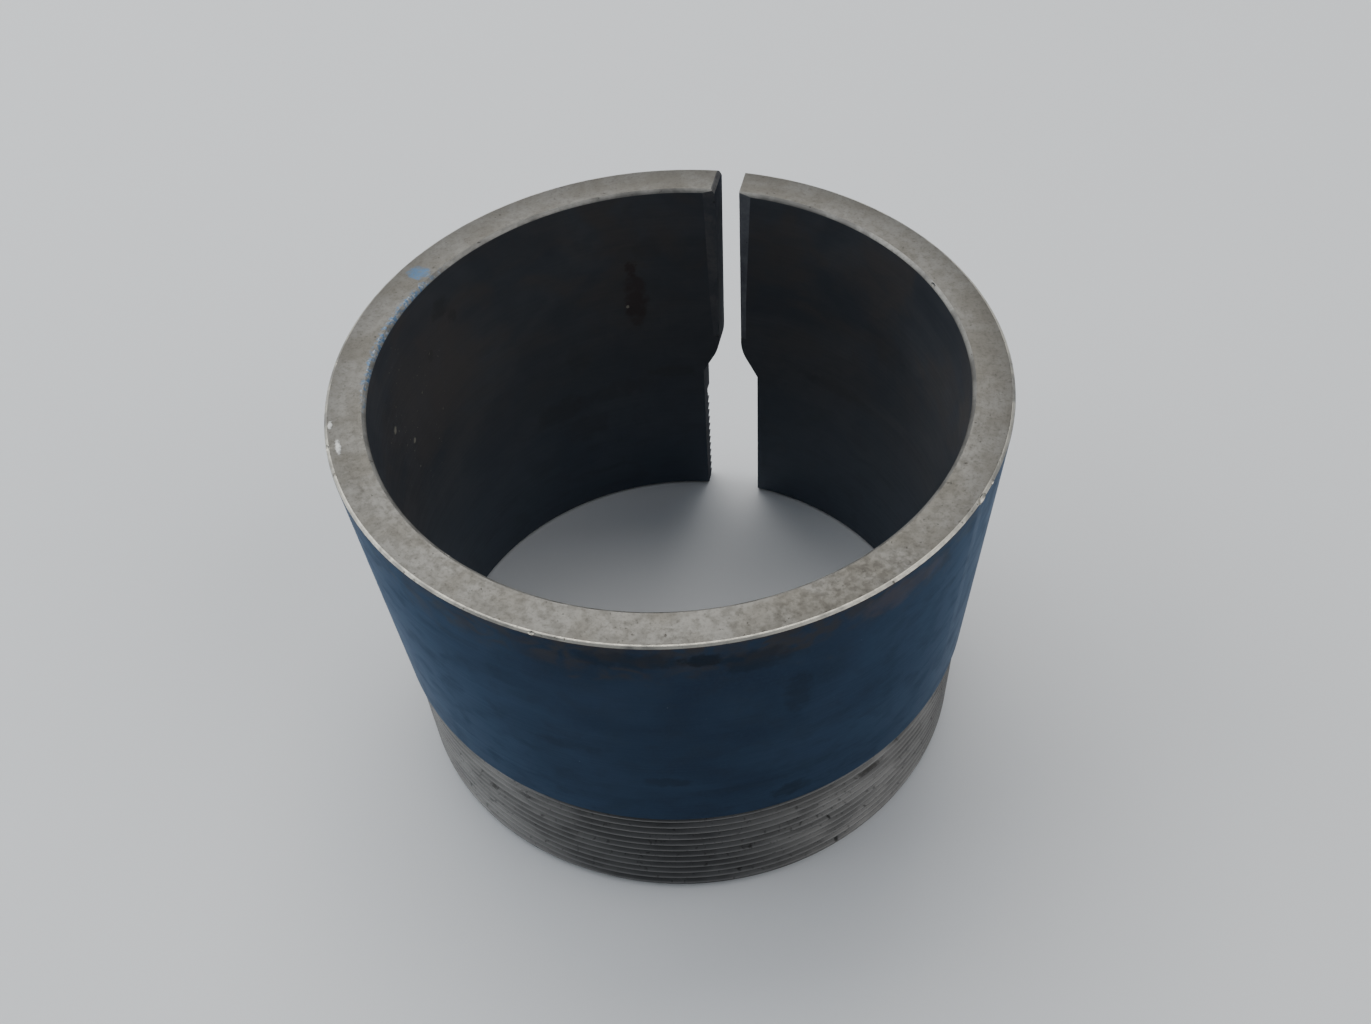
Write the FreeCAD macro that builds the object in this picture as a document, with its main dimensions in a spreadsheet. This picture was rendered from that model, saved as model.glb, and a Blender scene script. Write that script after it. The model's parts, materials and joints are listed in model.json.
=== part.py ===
import FreeCAD, Part
import math
import os

import Sketcher

# Tapered adapter sleeve for mounting a taper-bore bearing on a plain shaft.
# One machined steel piece: a straight bore, a 1:12 tapered seat, a right-hand
# V thread on the small end and one slot through the wall along its whole length.
# Frame: +Z is the bore axis towards the large end, z = 0 is the threaded end
# face, and the slot lies on +Y. Millimetres.

INCH = 25.4

# Driving dimensions: name, value, what it sizes.
DIMENSIONS = [
    ("bore_diameter", 4 * INCH, "shaft seat, 4 inch"),
    ("sleeve_length", 81.0, "overall length"),
    ("large_end_diameter", 115.6, "taper at the large end face"),
    ("taper_rate", 12, "length per unit of diameter change"),
    ("thread_diameter", 109.86, "major diameter of the thread"),
    ("thread_pitch", round(INCH / 12, 4), "12 threads per inch"),
    ("thread_length", 27.5, "threaded end up to the taper's shoulder"),
    ("thread_phase", -2.657, "height of the first groove on +X, below the face"),
    ("relief_width", 1.6, "neck between the last thread and the shoulder"),
    ("thread_chamfer", 1.2, "45 degree lead-in at the threaded end"),
    ("bore_bottom_chamfer", 0.8, "bore edge at the threaded end"),
    ("bore_top_chamfer", 0.4, "bore edge at the large end"),
    ("outer_top_chamfer", 0.4, "outer edge at the large end"),
    ("narrow_slot_width", 4.7, "slot through the tapered part"),
    ("wide_slot_width", 11.8, "slot for the lock washer's tab"),
    ("wide_slot_length", 35.4, "full-width slot, from the threaded end"),
    ("slot_flare_angle", 28, "half angle between the two widths, degrees"),
    ("slot_blend_radius", 10.0, "flare into the narrow slot"),
    ("land_bottom_width", 1.1, "flat along the slot's bore-side edges, where it starts"),
    ("land_bottom_depth", 0.14, "its depth at the slot, where it starts"),
    ("land_top_width", 2.3, "the same flat at the large end"),
    ("land_top_depth", 0.35, "its depth at the slot, at the large end"),
    ("land_start", 45.5, "height where the flats start"),
    ("lip_chamfer_across", 0.85, "filed corner of the left lip, on the large end face"),
    ("lip_chamfer_down", 1.25, "filed corner of the left lip, down the slot's wall"),
    ("overrun", 2.0, "how far cutters pass the faces"),
    ("thread_clearance", 0.1, "how far the thread cutter passes the crest"),
]


def make_sheet(document):
    """Put the driving dimensions in a spreadsheet, one aliased cell each."""
    sheet = document.addObject("Spreadsheet::Sheet", "Sizes")
    for row, (name, value, note) in enumerate(DIMENSIONS, start=1):
        sheet.set(f"A{row}", name)
        sheet.set(f"B{row}", str(value))
        sheet.setAlias(f"B{row}", name)
        sheet.set(f"C{row}", note)
    document.recompute()


def origin_feature(body, role):
    """The body's own origin plane or axis with this role."""
    for feature in body.Origin.OriginFeatures:
        if feature.Role == role:
            return feature
    raise RuntimeError(f"{body.Label} has no {role}")


def new_sketch(body, name, plane, height=None):
    """A sketch on one of the body's origin planes, raised by an expression in height."""
    sketch = body.newObject("Sketcher::SketchObject", name)
    sketch.AttachmentSupport = [(origin_feature(body, plane), "")]
    sketch.MapMode = "FlatFace"
    if height:
        sketch.setExpression("AttachmentOffset.Base.z", height)
    return sketch


def bind(sketch, name, kind, places, value, formula):
    """Add a dimension and bind it to a formula over the sheet."""
    index = sketch.addConstraint(Sketcher.Constraint(kind, *places, value))
    sketch.renameConstraint(index, name)
    sketch.setExpression(f"Constraints.{name}", formula)


def draw_outline(sketch, corners):
    """Draw a closed outline whose corners are (name, x formula, y formula)."""
    points = [
        (float(sketch.evalExpression(x)), float(sketch.evalExpression(y)))
        for _, x, y in corners
    ]
    lines = []
    for start, end in zip(points, points[1:] + points[:1]):
        segment = Part.LineSegment(FreeCAD.Vector(*start, 0), FreeCAD.Vector(*end, 0))
        lines.append(sketch.addGeometry(segment))
    for line, following in zip(lines, lines[1:] + lines[:1]):
        sketch.addConstraint(Sketcher.Constraint("Coincident", line, 2, following, 1))
    for line, point, (name, x, y) in zip(lines, points, corners):
        bind(sketch, f"{name}_x", "DistanceX", (-1, 1, line, 1), point[0], x)
        bind(sketch, f"{name}_y", "DistanceY", (-1, 1, line, 1), point[1], y)


# Basic 60 degree V thread, as shares of the pitch: depth of the groove, half the
# flat at its root and half the width that it opens to at the crest.
THREAD_DEPTH = 0.54127
ROOT_HALF_FLAT = 0.125
CREST_HALF_OPENING = 0.4375

BORE = "Sizes.bore_diameter / 2"
TOP = "Sizes.sleeve_length"
LARGE_END = "Sizes.large_end_diameter / 2"
SHOULDER = "Sizes.thread_length"
THREAD = "Sizes.thread_diameter / 2"
THREAD_ROOT = f"{THREAD} - {THREAD_DEPTH} * Sizes.thread_pitch"


def turn_blank(body):
    """Turn the sleeve's section about the bore axis, with no slot or thread yet."""
    rim = "Sizes.outer_top_chamfer"
    neck = f"{THREAD_ROOT} - Sizes.thread_clearance"
    neck_foot = f"{SHOULDER} - Sizes.relief_width"
    sketch = new_sketch(body, "SectionSketch", "YZ_Plane")
    draw_outline(sketch, [
        ("bore_end", f"{BORE} + Sizes.bore_bottom_chamfer", "0"),
        ("bore_low", BORE, "Sizes.bore_bottom_chamfer"),
        ("bore_high", BORE, f"{TOP} - Sizes.bore_top_chamfer"),
        ("face_inner", f"{BORE} + Sizes.bore_top_chamfer", TOP),
        ("face_outer", f"{LARGE_END} - {rim}", TOP),
        ("seat_high", f"{LARGE_END} - {rim} / (2 * Sizes.taper_rate)", f"{TOP} - {rim}"),
        ("seat_low", f"{LARGE_END} - ({TOP} - {SHOULDER}) / (2 * Sizes.taper_rate)", SHOULDER),
        ("neck_high", neck, SHOULDER),
        ("neck_low", neck, neck_foot),
        ("thread_high", THREAD, neck_foot),
        ("thread_low", THREAD, "Sizes.thread_chamfer"),
        ("thread_end", f"{THREAD} - Sizes.thread_chamfer", "0"),
    ])
    blank = body.newObject("PartDesign::Revolution", "Blank")
    blank.Profile = sketch
    blank.ReferenceAxis = (origin_feature(body, "Z_Axis"), [""])
    blank.Angle = 360
    return blank


def cut_thread(body):
    """Cut the right-hand V groove from below the end face up into the relief neck."""
    outside = f"{THREAD} + Sizes.thread_clearance"
    root_half = f"{ROOT_HALF_FLAT} * Sizes.thread_pitch"
    outside_half = (
        f"({CREST_HALF_OPENING} * Sizes.thread_pitch + Sizes.thread_clearance * tan(30 deg))"
    )
    middle = "Sizes.thread_phase"
    sketch = new_sketch(body, "GrooveSketch", "XZ_Plane")
    draw_outline(sketch, [
        ("root_low", THREAD_ROOT, f"{middle} - {root_half}"),
        ("crest_low", outside, f"{middle} - {outside_half}"),
        ("crest_high", outside, f"{middle} + {outside_half}"),
        ("root_high", THREAD_ROOT, f"{middle} + {root_half}"),
    ])
    thread = body.newObject("PartDesign::SubtractiveHelix", "Thread")
    thread.Profile = sketch
    thread.ReferenceAxis = (origin_feature(body, "Z_Axis"), [""])
    thread.Mode = "pitch-height-angle"
    thread.LeftHanded = False
    thread.setExpression("Pitch", "Sizes.thread_pitch")
    thread.setExpression(
        "Height",
        f"{SHOULDER} - Sizes.thread_pitch / 2 - Sizes.thread_clearance - {middle}",
    )
    return thread


def cut_narrow_slot(body):
    """Cut the parallel slot through the wall on +Y, along the whole sleeve."""
    half = "Sizes.narrow_slot_width / 2"
    inside = "Sizes.bore_diameter / 4"
    outside = f"{LARGE_END} + Sizes.overrun"
    sketch = new_sketch(body, "NarrowSlotSketch", "XY_Plane")
    draw_outline(sketch, [
        ("left_inside", f"-{half}", inside),
        ("right_inside", half, inside),
        ("right_outside", half, outside),
        ("left_outside", f"-{half}", outside),
    ])
    slot = body.newObject("PartDesign::Pocket", "NarrowSlot")
    slot.Profile = sketch
    slot.Type = "ThroughAll"
    slot.Reversed = True
    return slot


def cut_wide_slot(body):
    """Cut the wide slot at the threaded end and its flare into the narrow one."""
    sketch = new_sketch(body, "WideSlotSketch", "XZ_Plane")

    def size(name):
        return float(sketch.evalExpression(f"Sizes.{name}"))

    def line(start, end):
        ends = [FreeCAD.Vector(*point, 0) for point in (start, end)]
        return sketch.addGeometry(Part.LineSegment(*ends))

    def arc(centre_x, first, last):
        circle = Part.Circle(FreeCAD.Vector(centre_x, top, 0), FreeCAD.Vector(0, 0, 1), radius)
        return sketch.addGeometry(Part.ArcOfCircle(circle, first, last))

    wide = size("wide_slot_width") / 2
    narrow = size("narrow_slot_width") / 2
    length = size("wide_slot_length")
    radius = size("slot_blend_radius")
    flare = math.radians(size("slot_flare_angle"))
    below = -size("overrun")
    blend_x = narrow + radius * (1 - math.cos(flare))
    blend_z = length + (wide - blend_x) / math.tan(flare)
    top = blend_z + radius * math.sin(flare)

    floor = line((-wide, below), (wide, below))
    right_wall = line((wide, below), (wide, length))
    right_flare = line((wide, length), (blend_x, blend_z))
    right_blend = arc(narrow + radius, math.pi, math.pi + flare)
    cap = line((narrow, top), (-narrow, top))
    left_blend = arc(-narrow - radius, -flare, 0)
    left_flare = line((-blend_x, blend_z), (-wide, length))
    left_wall = line((-wide, length), (-wide, below))

    # Both arcs run anticlockwise: the right one from the cap down to the flare,
    # the left one from the flare up to the cap. Each meets the cap level with its
    # own centre, so that it runs straight up into the narrow slot.
    start, end, centre = 1, 2, 3
    vertical_axis = -2
    for constraint in (
        ("Coincident", floor, end, right_wall, start),
        ("Coincident", right_wall, end, right_flare, start),
        ("Tangent", right_flare, end, right_blend, end),
        ("Coincident", right_blend, start, cap, start),
        ("Coincident", cap, end, left_blend, end),
        ("Tangent", left_blend, start, left_flare, start),
        ("Coincident", left_flare, end, left_wall, start),
        ("Coincident", left_wall, end, floor, start),
        ("Vertical", right_wall),
        ("Vertical", left_wall),
        ("Horizontal", right_blend, centre, right_blend, start),
        ("Horizontal", left_blend, centre, left_blend, end),
        ("Symmetric", floor, start, floor, end, vertical_axis),
        ("Symmetric", cap, start, cap, end, vertical_axis),
        ("Equal", right_blend, left_blend),
    ):
        sketch.addConstraint(Sketcher.Constraint(*constraint))
    origin = (-1, start)
    bind(sketch, "wide", "DistanceX", (floor, start, floor, end), 2 * wide,
         "Sizes.wide_slot_width")
    bind(sketch, "narrow", "DistanceX", (cap, end, cap, start), 2 * narrow,
         "Sizes.narrow_slot_width")
    bind(sketch, "below", "DistanceY", (floor, start, *origin), -below, "Sizes.overrun")
    bind(sketch, "right_length", "DistanceY", (*origin, right_wall, end), length,
         "Sizes.wide_slot_length")
    bind(sketch, "left_length", "DistanceY", (*origin, left_wall, start), length,
         "Sizes.wide_slot_length")
    bind(sketch, "blend", "Radius", (right_blend,), radius, "Sizes.slot_blend_radius")
    bind(sketch, "flare", "Angle", (right_flare, start, right_wall, end),
         math.pi - flare, "180 - Sizes.slot_flare_angle")

    slot = body.newObject("PartDesign::Pocket", "WideSlot")
    slot.Profile = sketch
    slot.Type = "ThroughAll"
    return slot


def cut_slot_lands(body):
    """Cut a shallow flat along both bore-side edges of the slot, wider at the top."""
    half = "Sizes.narrow_slot_width / 2"
    edge = f"sqrt(pow({BORE}; 2) - pow({half}; 2))"
    sections = []
    for name, height in (("bottom", "Sizes.land_start"), ("top", TOP)):
        width, depth = f"Sizes.land_{name}_width", f"Sizes.land_{name}_depth"
        # The flat's line meets the bore one width away from the slot; it is drawn
        # twice as long, so that the cutter ends in the open bore.
        fall = f"({depth} + {edge} - sqrt(pow({BORE}; 2) - pow({half} + {width}; 2)))"
        sketch = new_sketch(body, f"Land{name.title()}Sketch", "XY_Plane", height)
        draw_outline(sketch, [
            ("left_inside", f"-({half} + 2 * {width})", f"{edge} + {depth} - 2 * {fall}"),
            ("right_inside", f"{half} + 2 * {width}", f"{edge} + {depth} - 2 * {fall}"),
            ("right_wall", half, f"{edge} + {depth}"),
            ("left_wall", f"-{half}", f"{edge} + {depth}"),
        ])
        sections.append(sketch)
    lands = body.newObject("PartDesign::SubtractiveLoft", "SlotLands")
    lands.Profile = sections[0]
    lands.Sections = sections[1:]
    lands.Ruled = True
    return lands


def cut_lip_chamfer(body):
    """File off the corner between the large end face and the slot's wall on -X."""
    half = "Sizes.narrow_slot_width / 2"
    low = f"{TOP} - Sizes.lip_chamfer_down"
    high = f"{TOP} + Sizes.overrun"
    far = f"-({half} + Sizes.lip_chamfer_across)"
    sketch = new_sketch(body, "LipChamferSketch", "XZ_Plane")
    draw_outline(sketch, [
        ("slot_low", "0", low),
        ("slot_high", "0", high),
        ("lip_high", far, high),
        ("lip_face", far, TOP),
        ("lip_wall", f"-{half}", low),
    ])
    chamfer = body.newObject("PartDesign::Pocket", "LipChamfer")
    chamfer.Profile = sketch
    chamfer.Type = "ThroughAll"
    return chamfer


def check_cut(document, feature, before):
    """Recompute and make sure that a cutting feature really removed metal."""
    document.recompute()
    after = feature.Shape.Volume
    if not after < before - 1.0:
        raise RuntimeError(f"{feature.Label} removed nothing: {before:.1f} -> {after:.1f}")
    print(f"{feature.Label}: {before:.1f} -> {after:.1f} cubic mm")
    return after


def check_document(document, body):
    """Stop if any object failed or the finished shape isn't one valid solid."""
    for item in document.Objects:
        if "Invalid" in item.State or "Error" in item.State:
            raise RuntimeError(f"{item.Label} failed: {item.State}")
    shape = body.Shape
    if shape.isNull() or not shape.isValid() or len(shape.Solids) != 1:
        raise RuntimeError(f"{body.Label} isn't one valid solid")


def main():
    """Build the sleeve and write it as parts/adapter_sleeve.step."""
    document = FreeCAD.newDocument("AdapterSleeve")
    make_sheet(document)
    body = document.addObject("PartDesign::Body", "AdapterSleeve")
    body.Label = "adapter_sleeve"
    document.recompute()

    blank = turn_blank(body)
    document.recompute()
    volume = blank.Shape.Volume
    cuts = (cut_narrow_slot, cut_wide_slot, cut_slot_lands, cut_lip_chamfer, cut_thread)
    for cut in cuts:
        volume = check_cut(document, cut(body), volume)

    body.Placement = FreeCAD.Placement()
    document.recompute()
    check_document(document, body)
    os.makedirs("parts", exist_ok=True)
    body.Shape.exportStep(os.path.join("parts", f"{body.Label}.step"))


main()
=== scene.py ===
import json
import logging
import math
from collections.abc import Callable, Iterable
from dataclasses import dataclass, field
from enum import Enum

import bpy
from mathutils import Matrix, Vector


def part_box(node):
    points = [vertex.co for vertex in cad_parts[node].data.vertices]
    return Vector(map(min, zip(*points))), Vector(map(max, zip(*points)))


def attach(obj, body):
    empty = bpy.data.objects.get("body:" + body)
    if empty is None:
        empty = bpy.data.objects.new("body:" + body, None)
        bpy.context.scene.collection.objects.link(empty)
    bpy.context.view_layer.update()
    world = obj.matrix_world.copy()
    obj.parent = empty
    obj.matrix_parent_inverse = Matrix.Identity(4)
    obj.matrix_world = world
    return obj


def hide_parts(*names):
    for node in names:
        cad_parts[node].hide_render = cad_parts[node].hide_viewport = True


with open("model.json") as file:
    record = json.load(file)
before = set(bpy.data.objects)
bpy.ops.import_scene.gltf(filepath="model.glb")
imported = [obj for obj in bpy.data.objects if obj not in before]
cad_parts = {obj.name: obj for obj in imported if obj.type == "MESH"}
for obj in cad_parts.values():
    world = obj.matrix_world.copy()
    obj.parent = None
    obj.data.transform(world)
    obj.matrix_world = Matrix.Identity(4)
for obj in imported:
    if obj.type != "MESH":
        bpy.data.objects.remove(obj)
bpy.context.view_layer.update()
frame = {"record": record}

log = logging.getLogger("adapter_sleeve")

MM = 0.001
WELD = 0.002 * MM
SLIVER = 0.001 * MM
MEAN_RADIUS_MM = 54.0
NODE = "adapter_sleeve"

Point = tuple[float, float, float]
Colour = tuple[float, float, float]


def mount(name: str) -> dict:
    """The record's mount of that name."""
    return next(m for m in frame["record"]["mounts"] if m["name"] == name)


# ------------------------------------------------------------ hand modelling


class Element(Enum):
    """What edit mode selects."""

    POINT = "VERT"
    EDGE = "EDGE"
    FACE = "FACE"


class Edit:
    """Edit mode on one mesh, entered with nothing selected and left at the end."""

    def __init__(self, piece: bpy.types.Object, element: Element = Element.POINT) -> None:
        """Remember what is edited.

        Args:
            piece: The mesh object.
            element: What is selected.
        """
        self.piece = piece
        self.element = element

    def __enter__(self) -> "Edit":
        """Enter edit mode with this piece alone active."""
        only(self.piece)
        bpy.ops.object.mode_set(mode="EDIT")
        bpy.ops.mesh.select_mode(type=self.element.value)
        bpy.ops.mesh.select_all(action="DESELECT")
        return self

    def __exit__(self, *_: object) -> None:
        """Go back to object mode."""
        bpy.ops.object.mode_set(mode="OBJECT")

    def everything(self) -> None:
        """Select the whole mesh."""
        bpy.ops.mesh.select_all(action="SELECT")

    def pick(self, wanted: Callable) -> int:
        """Select the elements that a test accepts, and nothing else.

        Args:
            wanted: Called with each vertex, edge or face, true to select it.

        Returns:
            How many were selected.
        """
        bpy.ops.object.mode_set(mode="OBJECT")
        mesh = self.piece.data
        groups = {
            Element.POINT: mesh.vertices,
            Element.EDGE: mesh.edges,
            Element.FACE: mesh.polygons,
        }
        for group in groups.values():
            group.foreach_set("select", [False] * len(group))
        chosen = [item for item in groups[self.element] if wanted(item)]
        for item in chosen:
            item.select = True
        bpy.ops.object.mode_set(mode="EDIT")
        return len(chosen)


def only(piece: bpy.types.Object) -> None:
    """Select this object alone and make it active."""
    bpy.ops.object.select_all(action="DESELECT")
    piece.select_set(True)
    bpy.context.view_layer.objects.active = piece


def trace(name: str, points: list[Point], filled: bool = False) -> bpy.types.Object:
    """Draw a chain of edges by extruding one point from corner to corner.

    Args:
        name: Name of the new object.
        points: The corners, in metres.
        filled: Join the last corner to the first and fill the outline.

    Returns:
        The new object, at the origin.
    """
    bpy.ops.object.select_all(action="DESELECT")
    bpy.ops.mesh.primitive_plane_add(size=MM, location=points[0])
    piece = bpy.context.active_object
    piece.name = name
    bpy.ops.object.transform_apply(location=True, rotation=True, scale=True)
    with Edit(piece) as edit:
        edit.everything()
        bpy.ops.mesh.merge(type="CENTER")
        for here, there in zip(points, points[1:]):
            step = Vector(there) - Vector(here)
            bpy.ops.mesh.extrude_region_move(TRANSFORM_OT_translate={"value": step})
        if filled:
            edit.everything()
            bpy.ops.mesh.edge_face_add()
    return piece


def spin(piece: bpy.types.Object, columns: int) -> None:
    """Turn a traced section once round the bore axis and close its seam."""
    with Edit(piece) as edit:
        edit.everything()
        bpy.ops.mesh.spin(steps=columns, angle=math.tau, center=(0, 0, 0), axis=(0, 0, 1))
        edit.everything()
        bpy.ops.mesh.remove_doubles(threshold=WELD)


def extrude(piece: bpy.types.Object, step: Point) -> None:
    """Pull a filled outline into a solid."""
    with Edit(piece) as edit:
        edit.everything()
        bpy.ops.mesh.extrude_region_move(TRANSFORM_OT_translate={"value": step})


def face_outwards(piece: bpy.types.Object) -> None:
    """Turn the faces of a closed mesh outwards."""
    with Edit(piece) as edit:
        edit.everything()
        bpy.ops.mesh.normals_make_consistent(inside=False)


def cut(piece: bpy.types.Object, cutter: bpy.types.Object) -> None:
    """Take one closed solid away from another, and delete it."""
    face_outwards(cutter)
    only(piece)
    modifier = piece.modifiers.new("cut", "BOOLEAN")
    modifier.operation = "DIFFERENCE"
    modifier.solver = "EXACT"
    modifier.object = cutter
    bpy.ops.object.modifier_apply(modifier=modifier.name)
    bpy.data.objects.remove(cutter, do_unlink=True)
    mend(piece)


def open_edges(mesh: bpy.types.Mesh) -> set[tuple[int, int]]:
    """The edges that only one face uses."""
    uses: dict[tuple[int, int], int] = {}
    for face in mesh.polygons:
        for key in face.edge_keys:
            uses[key] = uses.get(key, 0) + 1
    return {key for key, count in uses.items() if count == 1}


def mend(piece: bpy.types.Object) -> None:
    """Merge the slivers that cutting leaves and close any pinhole."""
    with Edit(piece, Element.EDGE) as edit:
        edit.everything()
        bpy.ops.mesh.remove_doubles(threshold=WELD)
        bpy.ops.mesh.dissolve_degenerate(threshold=SLIVER)
        bpy.ops.object.mode_set(mode="OBJECT")
        gaps = open_edges(piece.data)
        if edit.pick(lambda edge: tuple(sorted(edge.vertices)) in gaps):
            bpy.ops.mesh.fill_holes(sides=0)


def reach(point: Vector) -> float:
    """Distance from the bore axis."""
    return math.hypot(point.x, point.y)


def around(angle: float, radius: float, height: float) -> Vector:
    """A point at an angle about the bore axis, in degrees from +X."""
    turn = math.radians(angle)
    return Vector((radius * math.cos(turn), radius * math.sin(turn), height))


# ------------------------------------------------------------------ finishes


class Recipe:
    """A material's node tree, written one call per node."""

    def __init__(self, name: str) -> None:
        """Start a material with its shader, the radius and the angle round the bore.

        Args:
            name: Name of the material.
        """
        self.material = bpy.data.materials.new(name)
        self.material.use_nodes = True
        self.tree = self.material.node_tree
        self.shader = self.tree.nodes["Principled BSDF"]
        self.place = self.node("ShaderNodeTexCoord").outputs["Object"]
        apart = self.node("ShaderNodeSeparateXYZ", Vector=self.place)
        self.x, self.y, self.z = (apart.outputs[axis] for axis in "XYZ")
        squares = self.math("MULTIPLY_ADD", self.y, self.y, self.math("MULTIPLY", self.x, self.x))
        self.radius = self.math("SQRT", squares)
        self.angle = self.math("ARCTAN2", self.x, self.math("MULTIPLY", self.y, -1))

    def node(self, kind: str, **inputs: object) -> bpy.types.Node:
        """Add a node.

        Args:
            kind: The node's type.
            inputs: What goes in each input, by its name: an output, or a value.

        Returns:
            The node.
        """
        made = self.tree.nodes.new(kind)
        for name, value in inputs.items():
            self.feed(made.inputs[name.replace("_", " ")], value)
        return made

    def feed(self, socket: bpy.types.NodeSocket, value: object) -> None:
        """Link an output to an input, or set the input's value."""
        if isinstance(value, bpy.types.NodeSocket):
            self.tree.links.new(value, socket)
        elif value is not None:
            socket.default_value = value

    def math(self, operation: str, *terms: object, clamp: bool = False) -> bpy.types.NodeSocket:
        """Add a math node.

        Args:
            operation: What it works out.
            terms: Its inputs in order.
            clamp: Keep the result from 0 to 1.

        Returns:
            Its output.
        """
        made = self.tree.nodes.new("ShaderNodeMath")
        made.operation = operation
        made.use_clamp = clamp
        for socket, term in zip(made.inputs, terms):
            self.feed(socket, term)
        return made.outputs[0]

    def ease(self, value: object, low: float, high: float) -> bpy.types.NodeSocket:
        """A smooth step that rises from 0 at low to 1 at high, or falls if low is more."""
        made = self.node("ShaderNodeMapRange", Value=value)
        made.interpolation_type = "SMOOTHSTEP"
        rising = high > low
        made.inputs["From Min"].default_value = low if rising else high
        made.inputs["From Max"].default_value = high if rising else low
        made.inputs["To Min"].default_value = 0.0 if rising else 1.0
        made.inputs["To Max"].default_value = 1.0 if rising else 0.0
        return made.outputs[0]

    def wrapped(self, around_by: float, along_by: float, out_by: float) -> bpy.types.NodeSocket:
        """Place on the unrolled sleeve in millimetres, each direction scaled.

        Args:
            around_by: Scale round the bore.
            along_by: Scale along the axis.
            out_by: Scale outwards.

        Returns:
            The scaled place.
        """
        made = self.node("ShaderNodeCombineXYZ")
        self.feed(made.inputs["X"], self.math("MULTIPLY", self.angle, MEAN_RADIUS_MM * around_by))
        self.feed(made.inputs["Y"], self.math("MULTIPLY", self.z, along_by / MM))
        self.feed(made.inputs["Z"], self.math("MULTIPLY", self.radius, out_by / MM))
        return made.outputs[0]

    def noise(
        self, place: bpy.types.NodeSocket, scale: float, detail: float = 4, wander: float = 0
    ) -> bpy.types.NodeSocket:
        """Noise from 0 to 1.

        Args:
            place: Where it is read.
            scale: Its scale there.
            detail: Its octaves.
            wander: Its distortion.

        Returns:
            The noise value.
        """
        made = self.node(
            "ShaderNodeTexNoise", Vector=place, Scale=scale, Detail=detail, Distortion=wander
        )
        return made.outputs["Fac"]

    def solid_noise(
        self, size_mm: float, detail: float = 4, wander: float = 0
    ) -> bpy.types.NodeSocket:
        """Noise in space whose spots are about so many millimetres wide."""
        return self.noise(self.place, 1 / (size_mm * MM), detail, wander)

    def mix(self, share: object, one: object, other: object) -> bpy.types.NodeSocket:
        """Blend two colours.

        Args:
            share: How much of the second, 0 to 1.
            one: The first colour.
            other: The second colour.

        Returns:
            The blend.
        """
        made = self.tree.nodes.new("ShaderNodeMix")
        made.data_type = "RGBA"
        self.feed(made.inputs[0], share)
        for socket, colour in ((made.inputs[6], one), (made.inputs[7], other)):
            self.feed(socket, (*colour, 1) if isinstance(colour, tuple) else colour)
        return made.outputs[2]

    def both(self, *masks: object) -> bpy.types.NodeSocket:
        """Where all of the masks are."""
        result = masks[0]
        for mask in masks[1:]:
            result = self.math("MULTIPLY", result, mask)
        return result

    def beside(self, angle: float, across: float) -> bpy.types.NodeSocket:
        """Offset round the bore from an angle, 1 at so many millimetres."""
        middle = math.radians((angle + 90 + 180) % 360 - 180)
        turned = self.math("SUBTRACT", self.angle, middle)
        return self.math("MULTIPLY", turned, MEAN_RADIUS_MM / across)

    def spot(self, angle: float, across: float, height: float, tall: float) -> bpy.types.NodeSocket:
        """A soft-edged oval on the unrolled sleeve, with a ragged outline.

        Args:
            angle: Its middle, in degrees from +X.
            across: Half its width round the bore, in millimetres.
            height: Its middle along the axis, in millimetres.
            tall: Half its height, in millimetres.

        Returns:
            1 inside, 0 outside.
        """
        side = self.beside(angle, across)
        rise = self.math("MULTIPLY", self.math("SUBTRACT", self.z, height * MM), 1 / (tall * MM))
        return self.oval(side, rise, min(across, tall))

    def oval(self, side: object, rise: object, size: float) -> bpy.types.NodeSocket:
        """A soft and ragged oval from two offsets that are 1 at its edge."""
        squares = self.math("MULTIPLY_ADD", side, side, self.math("MULTIPLY", rise, rise))
        ragged = self.math("MULTIPLY_ADD", self.solid_noise(max(0.8 * size, 0.4), 5), 3.0, squares)
        return self.ease(ragged, 2.9, 1.7)

    def dab(self, angle: float, across: float, radius: float, deep: float) -> bpy.types.NodeSocket:
        """A ragged oval on an end face.

        Args:
            angle: Its middle, in degrees from +X.
            across: Half its width round the bore, in millimetres.
            radius: Its middle's distance from the axis, in millimetres.
            deep: Half its depth outwards, in millimetres.

        Returns:
            1 inside, 0 outside.
        """
        side = self.beside(angle, across)
        out = self.math("SUBTRACT", self.radius, radius * MM)
        return self.oval(side, self.math("MULTIPLY", out, 1 / (deep * MM)), min(across, deep))

    def finish(
        self, colour: object, roughness: object, bumps: Iterable[tuple[object, float]]
    ) -> bpy.types.Material:
        """Feed the shader.

        Args:
            colour: Base colour.
            roughness: Roughness.
            bumps: Heights from 0 to 1, each with its depth in millimetres.

        Returns:
            The material.
        """
        self.feed(self.shader.inputs["Base Color"], colour)
        self.feed(self.shader.inputs["Roughness"], roughness)
        normal = None
        for height, depth in bumps:
            bump = self.node("ShaderNodeBump", Height=height, Distance=depth * MM, Normal=normal)
            normal = bump.outputs["Normal"]
        self.feed(self.shader.inputs["Normal"], normal)
        return self.material


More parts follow.
